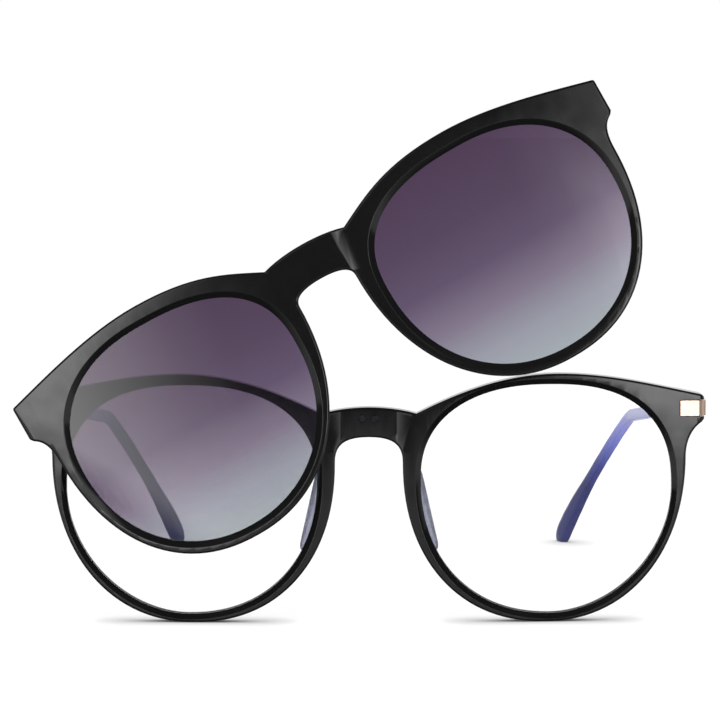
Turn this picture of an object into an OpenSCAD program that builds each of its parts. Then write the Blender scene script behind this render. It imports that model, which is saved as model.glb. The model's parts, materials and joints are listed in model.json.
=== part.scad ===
// Optical frame with a magnetic clip-on sunglass front, in millimetres.
// X runs across the frame, Y from the front to the temple tips, Z up from the table.
// Left and right are as seen from the front. The clip-on hangs by its left end magnet, swung up.

/* [Lenses] */
// Width of a lens opening
lens_w = 52.8; // [44:0.1:58]
// Height of a lens opening
lens_h = 48.4; // [40:0.1:54]
// Distance between the two lens openings
lens_gap = 21.8; // [16:0.1:26]
// Height of the widest point of the opening on the temple side, above its bottom
lens_side_rise = 26.2; // [20:0.1:32]
// Height of the widest point of the opening on the nose side, above its bottom
lens_nose_rise = 28.6; // [20:0.1:32]
// Roundness of the upper outer quarter (2 is an ellipse, more is squarer)
round_up_out = 2.5; // [2:0.05:3]
// Roundness of the lower outer quarter
round_low_out = 1.9; // [1.8:0.05:3]
// Roundness of the lower inner quarter
round_low_in = 2.2; // [1.8:0.05:3]
// Roundness of the upper inner quarter
round_up_in = 2.3; // [1.8:0.05:3]
// Thickness of a clear lens
lens_t = 1.8; // [1.2:0.1:2.4]
// Depth of the groove that holds a clear lens
lens_groove = 0.7; // [0.4:0.05:1]

/* [Front] */
// Radius of the front's wrap, about an upright axis
wrap_r = 750; // [400:10:1200]
// Thickness of the front
front_t = 4; // [3.4:0.1:5]
// Width of the rim under the lens
rim_low = 1.8; // [1.6:0.1:3.5]
// Width of the rim over the lens
rim_top = 2.25; // [1.6:0.05:4]
// Width of the rim beside the nose
rim_nose = 3.8; // [2.5:0.1:5]
// Width of the rim on the temple side
rim_side = 3; // [2.2:0.1:4]
// Height of the bridge at its middle
bridge_h = 6.3; // [4:0.1:8]
// Drop from the top of the lens to the top of the bridge
bridge_drop = 4.7; // [3:0.1:8]

/* [End piece] */
// Reach of the end piece past the lens
end_reach = 6.9; // [6.5:0.1:9]
// Drop from the top of the lens to the top of the end piece
end_drop = 2.3; // [1:0.1:4]
// Height of the end piece at its tip
end_h = 5.6; // [5:0.1:8]
// Radius of the end piece's corners
end_corner = 1.2; // [0.4:0.1:1.6]
// Depth of the end block, from the front's face at the tip to its back
block_depth = 5; // [4:0.1:7]

/* [End plate] */
// Height of the metal end plate
plate_h = 3.2; // [2.8:0.1:3.6]
// Thickness of the metal end plate
plate_t = 1.2; // [0.8:0.1:1.4]
// Length of the plate's leg on the face of the front
plate_face = 5.5; // [4:0.1:6]
// Height of the plate's middle above the tip's lower corner
plate_rise = 2.6; // [2.5:0.1:3.5]
// Outer radius of the plate's bend
plate_bend = 2; // [1.6:0.1:2.4]
// How far the plate stands out of the side of the end piece
plate_proud = 0.4; // [0:0.05:0.5]
// Gap round the plate in its slot
plate_gap = 0.22; // [0.1:0.02:0.3]
// Radius of the screw that holds the plate from behind
plate_screw_r = 0.6; // [0.5:0.05:0.7]

/* [Hinge] */
// Radius of the hinge knuckles
knuckle_r = 1.45; // [1.2:0.05:1.6]
// Radius of the hinge screw
hinge_screw_r = 0.6; // [0.5:0.05:0.7]
// Running clearance round the hinge screw
screw_clear = 0.04; // [0.02:0.01:0.08]
// Length of the plate's side leg behind the end block
leg_past_block = 3.6; // [3.4:0.1:5]
// Gap between the end plate and the temple
seam = 0.3; // [0.2:0.05:0.5]

/* [Temples] */
// Length of a temple from its hinge to its bend
temple_to_bend = 87; // [77:0.5:97]
// Inward lean of an open temple
temple_lean = 7.5; // [5:0.5:9]
// Downward slope of a temple in front of the bend
temple_slope = 8; // [6:0.5:11]
// Inward lean of the tip behind the bend
tip_lean = 26.5; // [18:0.5:28]
// Downward slope of the tip behind the bend
tip_slope = 52; // [46:1:58]
// Downward slope at the very end of the tip
tip_hook = 70; // [60:1:85]
// Thickness of the metal arm
arm_t = 1.2; // [1:0.1:1.4]
// Height of the metal arm
arm_h = 2.7; // [2.2:0.1:3]
// Length of bare metal arm in front of the plastic tip
arm_bare = 51; // [40:1:60]
// Length of the arm's core inside the plastic tip
core_len = 15; // [8:1:16]
// Thickness of the plastic tip at its front end
tip_t = 2.2; // [2:0.1:2.6]
// Height of the plastic tip at its front end
tip_h = 2.9; // [2.8:0.1:3.6]
// Thickness of the plastic tip at its fullest
tip_full_t = 2.8; // [2.6:0.1:3.6]
// Height of the plastic tip at its fullest
tip_full_h = 4.8; // [4:0.1:6]

/* [Nose pads] */
// Height of a nose pad's fullest part above the bottom of the lens
pad_rise = 21.5; // [18:0.5:25]
// Length of a nose pad above its fullest part
pad_up = 7.7; // [5:0.1:9]
// Length of a nose pad below its fullest part
pad_down = 7.5; // [5:0.1:9]
// Distance of a nose pad's foot from the lens, towards the nose
pad_inset = 1; // [0:0.1:1.6]
// How far a nose pad's lower end lies outside the lens's inner edge
pad_splay = 2.4; // [1:0.1:3.5]
// How far a nose pad stands behind the front
pad_depth = 5.6; // [4:0.1:7]
// Radius of a nose pad's fullest part
pad_r = 2; // [1.5:0.1:2.4]
// Radius of a nose pad's ends
pad_end_r = 1.4; // [1:0.1:1.8]

/* [Clip-on] */
// Gap between the clip-on and the front
clip_gap = 0.45; // [0.4:0.05:0.8]
// Height of the bottom of the clip-on's lens above the bottom of the front's, when worn
clip_rise = 1.2; // [0.9:0.1:1.8]
// Thickness of the clip-on
clip_t = 2.4; // [2:0.1:3]
// Width of a lens opening in the clip-on
clip_lens_w = 52.4; // [43.5:0.1:57.5]
// Height of a lens opening in the clip-on
clip_lens_h = 47.7; // [41:0.1:53]
// Roundness of its upper outer quarter
clip_round_up_out = 2.25; // [2:0.05:3]
// Roundness of its lower outer quarter
clip_round_low_out = 2.1; // [1.8:0.05:3]
// Roundness of its lower inner quarter
clip_round_low_in = 2.1; // [1.8:0.05:3]
// Roundness of its upper inner quarter
clip_round_up_in = 2.5; // [1.8:0.05:3]
// Thickness of a tinted lens
clip_lens_t = 1; // [0.7:0.1:1.2]
// Depth of the groove that holds a tinted lens
clip_groove = 0.5; // [0.3:0.05:0.8]
// Width of the clip-on's rim under the lens
clip_rim_low = 2.5; // [1.6:0.1:3.2]
// Width of the clip-on's rim over the lens
clip_rim_top = 4.2; // [3:0.1:5]
// Width of the clip-on's rim beside the nose
clip_rim_nose = 4.4; // [3.4:0.1:5.2]
// Width of the clip-on's rim on the temple side
clip_rim_side = 3.2; // [2.4:0.1:4.2]
// Reach of the clip-on's end piece past the lens
clip_end_reach = 6.4; // [5.5:0.1:8]
// Height of the clip-on's end piece at its tip
clip_end_h = 7.9; // [6:0.1:9]
// Drop from the top of the clip-on's lens to the top of its end piece
clip_end_drop = 1.8; // [1:0.1:3]
// Height of the clip-on's bridge at its middle
clip_bridge_h = 8.2; // [7.6:0.1:10]
// How far the top of the clip-on's bridge lies above the top of the front's, when worn
clip_bridge_lift = 3.4; // [2:0.1:5]
// How far the front's lens reaches past the clip-on's at the side
clip_trim = 0.2; // [0:0.05:0.5]
// Angle that the clip-on is swung up from where it is worn
clip_swing = 29.5; // [0:0.1:80]

/* [Magnets] */
// Radius of the magnets in the end pieces
end_magnet_r = 0.9; // [0.7:0.05:1]
// Distance of the end magnets outside the lens
end_magnet_out = 1.8; // [1.4:0.05:1.9]
// Height of the end magnets above the bottom of the lens
end_magnet_rise = 36; // [34:0.5:39]
// Plastic left over the end magnets, on the face of the front and of the clip-on
magnet_skin = 0.7; // [0.5:0.1:1]
// Plastic left outside the end magnets, at the side of the rim
magnet_wall = 0.3; // [0.2:0.05:0.6]
// Radius of the magnets in the bridges
bridge_magnet_r = 0.8; // [0.6:0.05:1]
// Distance between the two magnets of a bridge, centre to centre
bridge_magnet_gap = 2.75; // [2.2:0.05:4]
// Depth of the magnets in the bridges
bridge_magnet_t = 1.5; // [1:0.1:2]
// Clearance round a magnet and a lens in its seat
seat_clear = 0.03; // [0.01:0.01:0.06]

/* [Hidden] */
$fn = 64;

// Lens opening of the front: its extremes, on the right side
lens_in = lens_gap / 2;
lens_out = lens_in + lens_w;
lens_mid = (lens_in + lens_out) / 2;
lens_low = rim_low;
lens_top = lens_low + lens_h;
// Where the opening is highest and lowest, from its middle
peak_shift = 0.7;
curve_steps = 24;
front_lens = [
    lens_in, lens_out, lens_low, lens_top,
    round_up_out, round_low_out, round_low_in, round_up_in
];

// Key heights of the bridge and the end piece
bridge_top = lens_top - bridge_drop;
bridge_low = bridge_top - bridge_h;
end_x = lens_out + end_reach;
end_top = lens_top - end_drop;
end_low = end_top - end_h;
plate_z = end_low + plate_rise;

// The end piece in plan
plate_x = end_x + plate_proud;
plate_cx = plate_x - plate_bend;
plate_recess = 0.1;
plate_bed = 0.03;
slot_round = 0.4;
plate_cy = wrap_y(plate_cx) + plate_recess + plate_bend;
corner_cx = end_x - end_corner;
corner_cy = wrap_y(corner_cx) + end_corner;
// The wrapped band runs a little way into the rounded corner
band_end = corner_cx + 0.1;
block_back = wrap_y(corner_cx) + block_depth;
block_in = 7;
leg_end = block_back + leg_past_block;
leg_in = plate_x - plate_t;
screw_x = plate_cx - 1.8;
screw_in = wrap_y(screw_x) + plate_recess + 0.4;

// The hinge: its axis and its three knuckles
axis_x = leg_in - knuckle_r - 0.35;
axis_y = leg_end + seam / 2;
knuckle_gap = 0.06;
knuckle_h = (plate_h - 0.2 - 2 * knuckle_gap) / 3;
knuckle_z = plate_z - knuckle_h * 1.5 - knuckle_gap;
screw_head_r = 1;
screw_head_h = 0.5;

// The temple's line: hinge end, bend and tip
arm_root = 2.6;
arm_lap = 0.6;
arm_start = [plate_x - arm_t / 2, leg_end + seam + arm_root - arm_lap, plate_z];
arm_dir = heading(temple_lean, temple_slope);
tip_dir = heading(tip_lean, tip_slope);
bend_at = arm_start + temple_to_bend * arm_dir;
tip_foot = -0.8;
tip_end = bend_at + tip_dir * (bend_at[2] - tip_foot) / -tip_dir[2];
bend_run = 13;
bend_ease = 7;
hook_run = 7.5;
core_t = 0.9;
core_h = 1.6;
tip_rings = 26;
tip_sides = 20;
tip_square = 2.5;
// Shares of the tip's length where it starts to swell, is fullest and starts to round off
swell_from = 0.55;
swell_to = 0.85;
round_from = 0.88;
tip_path = concat(
    [for (i = [0 : 3]) arm_start + (arm_bare + (temple_to_bend - bend_run - arm_bare) * i / 4) * arm_dir],
    bezier(
        bend_at - bend_run * arm_dir, bend_at - (bend_run - bend_ease) * arm_dir,
        tip_end - hook_run * heading(tip_lean, tip_hook), tip_end, tip_rings
    ),
    [tip_end]
);

// The clip-on where it is worn, and the left magnet that it swings about
clip_face = clip_gap + clip_t;
clip_in = lens_mid - clip_lens_w / 2;
clip_out = lens_mid + clip_lens_w / 2;
clip_low = lens_low + clip_rise;
clip_top = clip_low + clip_lens_h;
clip_bridge_top = bridge_top + clip_bridge_lift;
clip_bridge_low = clip_bridge_top - clip_bridge_h;
clip_end_top = clip_top - clip_end_drop;
clip_end_low = clip_end_top - clip_end_h;
clip_lens_depth = -clip_gap - (clip_t + clip_lens_t) / 2;
clip_lens_shape = [
    clip_in, clip_out, clip_low, clip_top,
    clip_round_up_out, clip_round_low_out, clip_round_low_in, clip_round_up_in
];

// The end magnets lie outside both lenses, and both fronts reach far enough to hold them
magnet_x = max(lens_out, clip_out + clip_trim) + end_magnet_out;
magnet_z = lens_low + end_magnet_rise;
magnet_edge = magnet_x + end_magnet_r + magnet_wall;
swing_at = [-magnet_x, wrap_y(magnet_x), magnet_z];
swing_axis = [-magnet_x, wrap_y(magnet_x) - wrap_r, 0] / wrap_r;
bridge_magnet_z = bridge_top - 2.3;

// Solids that cut run past the faces by this much
over = 1;
// The stock that the fronts are cut from, in height and depth
stock_low = -20;
stock_h = 120;
stock_y = 40;
wrap_fn = 720;
left = -1;
right = 1;

// How far below the bridge each nose side is closest to the nose, and how far below the end piece
// each rim's side is straight up
nose_drop = 5.2;
side_drop = 7;
clip_nose_drop = 2.9;
clip_side_drop = 6;

// Outlines in the plane of the front: X across and Z up
front_half = half_outline(
    arch = [0, bridge_low], arch_run = 5.3,
    nose = [lens_in - rim_nose, bridge_low - nose_drop], nose_run = 3.4,
    low = [lens_mid - 0.3, lens_low - rim_low], low_in = round_low_in, low_out = 2.15,
    side = [max(lens_out + rim_side, magnet_edge), end_low - side_drop],
    tip_low = [end_x, end_low], tip_top = [end_x, end_top], corner = end_corner, shoulder_lift = 2,
    peak = [lens_mid + 2.2, lens_top + rim_top], peak_run = 12,
    notch = [lens_in - 0.9, bridge_top - 1.3], notch_run = 7,
    crown = [0, bridge_top]
);
clip_half = half_outline(
    arch = [0, clip_bridge_low], arch_run = 4.2,
    nose = [clip_in - clip_rim_nose, clip_bridge_low - clip_nose_drop], nose_run = 2,
    low = [lens_mid + 0.4, clip_low - clip_rim_low], low_in = 2.12, low_out = 2.25,
    side = [max(clip_out + clip_rim_side, magnet_edge), clip_end_low - clip_side_drop],
    tip_low = [clip_out + clip_end_reach, clip_end_low],
    tip_top = [clip_out + clip_end_reach, clip_end_top], corner = 0.4, shoulder_lift = 2.5,
    peak = [lens_mid - 0.3, clip_top + clip_rim_top], peak_run = 14,
    notch = [clip_in - 1.6, clip_bridge_top - 1.2], notch_run = 7.5,
    crown = [0, clip_bridge_top]
);
front_outline = both_sides(front_half);
clip_outline = both_sides(clip_half);

// Middle of the whole object in plan, which becomes the origin on the table
clip_edge = [for (p = clip_outline) swung([p[0], wrap_y(p[0]) - clip_face, p[1]])];
tip_edge = [for (ring = tip_skin()) for (p = ring) if (p[2] >= 0) p];
middle = [
    (min([for (p = clip_edge) p[0]]) + plate_x) / 2,
    (min([for (p = clip_edge) p[1]]) + max([for (p = tip_edge) p[1]])) / 2,
    0
];

function wrap_y(x) = wrap_r - sqrt(wrap_r * wrap_r - x * x);
function unit(v) = v / norm(v);
function heading(lean, slope) = unit([-tan(lean), 1, -tan(slope)]);

// A quarter of a rounded outline, from a flat point to an upright one or back, without its last point
function bow(a, b, roundness, from_flat) = [
    for (i = [0 : curve_steps - 1])
        let (
            turn = 90 * i / curve_steps,
            near = pow(cos(turn), 2 / roundness),
            far = pow(sin(turn), 2 / roundness)
        )
            from_flat
                ? [a[0] + (b[0] - a[0]) * far, b[1] + (a[1] - b[1]) * near]
                : [b[0] + (a[0] - b[0]) * near, a[1] + (b[1] - a[1]) * far]
];

// A cubic curve without its last point, in the plane or in space
function bezier(a, b, c, d, steps) = [
    for (i = [0 : steps - 1])
        let (t = i / steps, u = 1 - t)
            u * u * u * a + 3 * u * u * t * b + 3 * u * t * t * c + t * t * t * d
];

// A lens opening of the right side, grown all round. Its shape is its inner, outer, lower and upper
// extremes, then the roundness of its quarters, clockwise from the upper outer one
function opening(shape, grow) =
    let (
        top = [lens_mid + peak_shift, shape[3] + grow],
        outer = [shape[1] + grow, shape[2] + lens_side_rise],
        low = [lens_mid + peak_shift, shape[2] - grow],
        inner = [shape[0] - grow, shape[2] + lens_nose_rise]
    )
    concat(
        bow(top, outer, shape[4], true),
        bow(outer, low, shape[5], false),
        bow(low, inner, shape[6], true),
        bow(inner, top, shape[7], false)
    );

// Right half of a front: under the bridge, down the nose side, round the rim and the end piece,
// and back over the top
function half_outline(arch, arch_run, nose, nose_run, low, low_in, low_out, side, tip_low, tip_top, corner,
    shoulder_lift, peak, peak_run, notch, notch_run, crown) =
    let (
        centre = [tip_top[0] - corner, tip_top[1] - corner],
        shoulder = centre + corner * [cos(78), sin(78)]
    )
    concat(
        bezier(arch, arch + [arch_run, 0], nose + [0, nose_run], nose, 10),
        bow(nose, low, low_in, false),
        bow(low, side, low_out, true),
        bezier(side, side + [0.2, 3.8], tip_low - [1.9, 1], tip_low, 10),
        [tip_low + [0, 0.4]],
        [for (i = [0 : 4]) centre + corner * [cos(78 * i / 5), sin(78 * i / 5)]],
        bezier(shoulder, shoulder + [-9.5, shoulder_lift], peak + [11, 0], peak, 16),
        bezier(peak, peak - [peak_run, 0], notch + notch_run * [1, 0.5], notch, 16),
        bezier(notch, notch + [-3, 0.9], crown + [3, 0], crown, 6),
        [crown]
    );

function both_sides(half) = concat(half, [for (i = [len(half) - 2 : -1 : 1]) [-half[i][0], half[i][1]]]);

// A point of the worn clip-on, where the swing takes it
function swung(p) =
    let (v = p - swing_at)
        swing_at + v * cos(clip_swing) + cross(swing_axis, v) * sin(clip_swing)
            + swing_axis * (swing_axis * v) * (1 - cos(clip_swing));

// Rings of points round the plastic tip, fullest past the bend and rounded off at the end
function tip_skin() = [
    for (i = [0 : len(tip_path) - 1])
        let (
            back = tip_path[max(i - 1, 0)],
            ahead = tip_path[min(i + 1, len(tip_path) - 1)],
            along = unit(ahead - back),
            across = unit(cross(along, [0, 0, 1])),
            up = cross(across, along),
            f = i / (len(tip_path) - 1),
            swell = 0.5 - 0.5 * cos(180 * min(1, max(0, (f - swell_from) / (swell_to - swell_from)))),
            taper = sqrt(max(0.1, 1 - pow(max(0, (f - round_from) / (1 - round_from)), 2))),
            half_t = (tip_t + (tip_full_t - tip_t) * swell) / 2 * taper,
            half_h = (tip_h + (tip_full_h - tip_h) * swell) / 2 * taper
        )
        [
            for (j = [0 : tip_sides - 1])
                let (c = cos(360 * j / tip_sides), s = sin(360 * j / tip_sides))
                    tip_path[i] + across * half_t * sign(c) * pow(abs(c), 2 / tip_square)
                        + up * half_h * sign(s) * pow(abs(s), 2 / tip_square)
        ]
];

module place() {
    translate(-middle) children();
}

// The right-hand piece, or its mirror image
module on_side(side) {
    place() mirror([side < 0 ? 1 : 0, 0, 0]) children();
}

module clip_place() {
    place() translate(swing_at) rotate(a = clip_swing, v = swing_axis) translate(-swing_at) children();
}

// An outline pushed through the front
module upright(points, y0 = -6, y1 = 24) {
    translate([0, y1, 0]) rotate([90, 0, 0]) linear_extrude(y1 - y0) polygon(points);
}

// Everything deeper than a depth behind the front's face, inside the cylinder that the front wraps
module wrap_solid(depth, past = 0) {
    translate([0, wrap_r, stock_low - past])
        cylinder(r = wrap_r - depth, h = stock_h + 2 * past, $fn = wrap_fn);
}

// Everything between two depths behind the front's face
module wrap_band(d0, d1) {
    difference() {
        wrap_solid(d0);
        wrap_solid(d1, over);
    }
}

// A round piece square to the face of the front, between two depths
module face_pin(x, z, r, d0, d1) {
    translate([x, wrap_y(abs(x)), z])
        rotate([0, 0, asin(x / wrap_r)])
            rotate([-90, 0, 0])
                translate([0, 0, d0]) cylinder(r = r, h = d1 - d0);
}

// The end block behind the right end piece, in plan
module block_plan() {
    polygon([
        [end_x - block_in, wrap_y(end_x - block_in) + front_t / 2],
        [corner_cx, corner_cy],
        [end_x, corner_cy],
        [end_x, block_back],
        [end_x - block_in + 2, block_back],
        [end_x - block_in, wrap_y(end_x - block_in) + front_t]
    ]);
    translate([corner_cx, corner_cy]) circle(r = end_corner);
}

// Bent strip in plan: along the face, round the corner and back along the side
module strip_plan(face_x, inner, outer, back) {
    intersection() {
        translate([0, wrap_r]) difference() {
            circle(r = wrap_r - plate_recess + outer, $fn = wrap_fn);
            circle(r = wrap_r - plate_recess - plate_t - inner, $fn = wrap_fn);
        }
        translate([face_x, -2]) square([plate_cx - face_x, 20]);
    }
    intersection() {
        translate([plate_cx, plate_cy]) difference() {
            circle(r = plate_bend + outer);
            circle(r = plate_bend - plate_t - inner);
        }
        translate([plate_cx, plate_cy - 10]) square([10, 10]);
    }
    translate([leg_in - inner, plate_cy]) square([plate_t + inner + outer, back - plate_cy]);
}

// Slot for the plate, with rounded corners at its inner end
module plate_slot() {
    slot_x = plate_cx + plate_bend - plate_face - plate_gap;
    slot_h = plate_h + 2 * plate_gap;
    slot_top = plate_z + slot_h / 2;
    slot_low = plate_z - slot_h / 2;
    round_x = slot_x + slot_round;
    past_end = plate_x + over;
    intersection() {
        translate([0, 0, slot_low]) linear_extrude(slot_h)
            strip_plan(slot_x, plate_bed, over, block_back + over);
        upright([
            for (turn = [0 : 18 : 90])
                [round_x - slot_round * cos(turn), slot_top - slot_round * (1 - sin(turn))],
            [past_end, slot_top],
            [past_end, slot_low],
            for (turn = [90 : -18 : 0])
                [round_x - slot_round * cos(turn), slot_low + slot_round * (1 - sin(turn))]
        ]);
    }
}

// The screw that comes through the end block into the back of the plate
module plate_screw_solid(r, head_r, head_h) {
    translate([screw_x, block_back, plate_z]) rotate([90, 0, 0]) cylinder(r = r, h = block_back - screw_in);
    translate([screw_x, block_back + head_h, plate_z]) rotate([90, 0, 0]) cylinder(r = head_r, h = head_h);
}

module front_frame() {
    color("#161616") place() difference() {
        intersection() {
            upright(front_outline);
            union() {
                intersection() {
                    wrap_band(0, front_t);
                    translate([-band_end, -over, stock_low]) cube([2 * band_end, stock_y, stock_h]);
                }
                for (side = [left, right])
                    mirror([side < 0 ? 1 : 0, 0, 0])
                        translate([0, 0, end_low]) linear_extrude(20) block_plan();
            }
        }
        for (side = [left, right])
            mirror([side < 0 ? 1 : 0, 0, 0]) {
                upright(opening(front_lens, 0));
                lens_solid(front_lens, lens_groove, lens_t, (front_t - lens_t) / 2, seat_clear);
                plate_slot();
                plate_screw_solid(plate_screw_r + seat_clear, 0, 0);
                face_pin(magnet_x, magnet_z, end_magnet_r + seat_clear, magnet_skin, front_t + over);
                face_pin(bridge_magnet_gap / 2, bridge_magnet_z, bridge_magnet_r + seat_clear,
                    -over, bridge_magnet_t + 2 * seat_clear);
            }
    }
}

// A lens, or its groove when it is given a clearance
module lens_solid(shape, groove, thickness, depth, clearance) {
    intersection() {
        upright(opening(shape, groove + clearance));
        wrap_band(depth - clearance, depth + thickness + clearance);
    }
}

module lens(side) {
    color("#e8eefc", 0.3) on_side(side)
        lens_solid(front_lens, lens_groove, lens_t, (front_t - lens_t) / 2, 0);
}

// A rounded wedge seated on the back of the rim beside the nose
module nose_pad(side) {
    foot_y = wrap_y(lens_in + pad_splay) + front_t + seat_clear;
    pad_z = lens_low + pad_rise;
    color("#b9b9c6") on_side(side) difference() {
        hull() {
            translate([lens_in - pad_inset, foot_y, pad_z + pad_up]) sphere(r = pad_end_r, $fn = 32);
            translate([lens_in - pad_inset, foot_y, pad_z]) sphere(r = pad_end_r, $fn = 32);
            translate([lens_in, foot_y + pad_depth - pad_r, pad_z]) sphere(r = pad_r, $fn = 32);
            translate([lens_in + pad_splay, foot_y, pad_z - pad_down]) sphere(r = pad_end_r, $fn = 32);
        }
        translate([0, foot_y - 10, 0]) cube([lens_out, 10, lens_top]);
    }
}

module end_plate(side) {
    color("#e8cdbb") on_side(side) difference() {
        translate([0, 0, plate_z - plate_h / 2]) linear_extrude(plate_h)
            strip_plan(plate_x - plate_face, 0, 0, leg_end);
        plate_screw_solid(plate_screw_r + seat_clear, 0, 0);
    }
}

module plate_screw(side) {
    color("#b8b8ba") on_side(side) plate_screw_solid(plate_screw_r, 1.1, 0.6);
}

// One hinge knuckle, counted from the bottom, with a neck to the metal beside it
module knuckle(count, y0, y1) {
    translate([0, 0, knuckle_z + count * (knuckle_h + knuckle_gap)]) difference() {
        union() {
            translate([axis_x, axis_y]) cylinder(r = knuckle_r, h = knuckle_h);
            translate([axis_x, y0]) cube([leg_in - axis_x, y1 - y0, knuckle_h]);
        }
        translate([axis_x, axis_y, -over])
            cylinder(r = hinge_screw_r + screw_clear, h = knuckle_h + 2 * over);
    }
}

module front_hinge(side) {
    color("#dcc4b4") on_side(side)
        for (count = [0, 2])
            knuckle(count, axis_y - knuckle_r, leg_end);
}

module temple_hinge(side) {
    color("#dcc4b4") on_side(side) knuckle(1, leg_end + seam, axis_y + knuckle_r);
}

module hinge_screw(side) {
    screw_top = plate_z + knuckle_h * 1.5 + knuckle_gap + seat_clear;
    color("#b8b8ba") on_side(side) difference() {
        union() {
            translate([axis_x, axis_y, knuckle_z]) cylinder(r = hinge_screw_r, h = screw_top - knuckle_z);
            translate([axis_x, axis_y, screw_top]) cylinder(r = screw_head_r, h = screw_head_h);
        }
        translate([axis_x - 2, axis_y - 0.15, screw_top + screw_head_h / 2]) cube([4, 0.3, over]);
    }
}

module bridge_magnets() {
    color("#0c0c0e") place() for (side = [left, right])
        face_pin(side * bridge_magnet_gap / 2, bridge_magnet_z, bridge_magnet_r,
            seat_clear, bridge_magnet_t);
}

module end_magnets() {
    color("#b8b8ba") place() for (side = [left, right])
        face_pin(side * magnet_x, magnet_z, end_magnet_r, magnet_skin + seat_clear, front_t - 0.1);
}

// A bar along the line of the arm
module along_arm(from, length, t, h) {
    translate(arm_start)
        rotate([-atan(tan(temple_slope) * cos(temple_lean)), 0, temple_lean])
            translate([-t / 2, from, -h / 2]) cube([t, length, h]);
}

module temple_arm(side) {
    color("#e8cdbb") on_side(side) {
        translate([plate_x - arm_t, leg_end + seam, plate_z - plate_h / 2])
            cube([arm_t, arm_root, plate_h]);
        along_arm(0, arm_bare, arm_t, arm_h);
        along_arm(arm_bare - over, core_len + over, core_t, core_h);
    }
}

module temple_tip(side) {
    rings = tip_skin();
    last = len(rings) - 1;
    color("#242240") on_side(side) difference() {
        polyhedron(
            points = [for (ring = rings) for (p = ring) p],
            faces = concat(
                [[for (j = [tip_sides - 1 : -1 : 0]) j]],
                [[for (j = [0 : tip_sides - 1]) last * tip_sides + j]],
                [
                    for (i = [0 : last - 1])
                        for (j = [0 : tip_sides - 1])
                            let (a = i * tip_sides, b = a + tip_sides, k = (j + 1) % tip_sides)
                                for (face = [[a + j, b + k, b + j], [a + j, a + k, b + k]]) face
                ]
            )
        );
        along_arm(arm_bare - over, core_len + over + seat_clear,
            core_t + 2 * seat_clear, core_h + 2 * seat_clear);
        translate([-200, -200, -100]) cube([400, 600, 100]);
    }
}

// Depths in the clip-on count back from the front's face, so they are below zero
module clip_frame() {
    color("#161616") clip_place() difference() {
        intersection() {
            upright(clip_outline);
            wrap_band(-clip_face, -clip_gap);
        }
        for (side = [left, right])
            mirror([side < 0 ? 1 : 0, 0, 0]) {
                upright(opening(clip_lens_shape, 0));
                lens_solid(clip_lens_shape, clip_groove, clip_lens_t, clip_lens_depth, seat_clear);
                face_pin(magnet_x, magnet_z, end_magnet_r + seat_clear,
                    magnet_skin - clip_face, over - clip_gap);
                face_pin(bridge_magnet_gap / 2, bridge_magnet_z, bridge_magnet_r + seat_clear,
                    -clip_gap - bridge_magnet_t, over - clip_gap);
            }
    }
}

module clip_lens(side) {
    color("#6d5a74", 0.8) clip_place() mirror([side < 0 ? 1 : 0, 0, 0])
        lens_solid(clip_lens_shape, clip_groove, clip_lens_t, clip_lens_depth, 0);
}

module clip_bridge_magnets() {
    color("#b8b8ba") clip_place() for (side = [left, right])
        face_pin(side * bridge_magnet_gap / 2, bridge_magnet_z, bridge_magnet_r,
            seat_clear - clip_gap - bridge_magnet_t, -clip_gap);
}

module clip_end_magnets() {
    color("#b8b8ba") clip_place() for (side = [left, right])
        face_pin(side * magnet_x, magnet_z, end_magnet_r, magnet_skin - clip_face + seat_clear, -clip_gap);
}

front_frame();
lens(left);  // lens_left
lens(right);  // lens_right
nose_pad(left);  // nose_pad_left
nose_pad(right);  // nose_pad_right
end_plate(left);  // end_plate_left
end_plate(right);  // end_plate_right
plate_screw(left);  // plate_screw_left
plate_screw(right);  // plate_screw_right
front_hinge(left);  // front_hinge_left
front_hinge(right);  // front_hinge_right
hinge_screw(left);  // hinge_screw_left
hinge_screw(right);  // hinge_screw_right
bridge_magnets();
end_magnets();
temple_hinge(left);  // temple_hinge_left
temple_hinge(right);  // temple_hinge_right
temple_arm(left);  // temple_arm_left
temple_arm(right);  // temple_arm_right
temple_tip(left);  // temple_tip_left
temple_tip(right);  // temple_tip_right
clip_frame();
clip_lens(left);  // clip_lens_left
clip_lens(right);  // clip_lens_right
clip_bridge_magnets();
clip_end_magnets();
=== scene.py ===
import json
from math import asin, cos, pi, radians, sin, sqrt, tan

import bpy
from mathutils import Matrix, Vector

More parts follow.
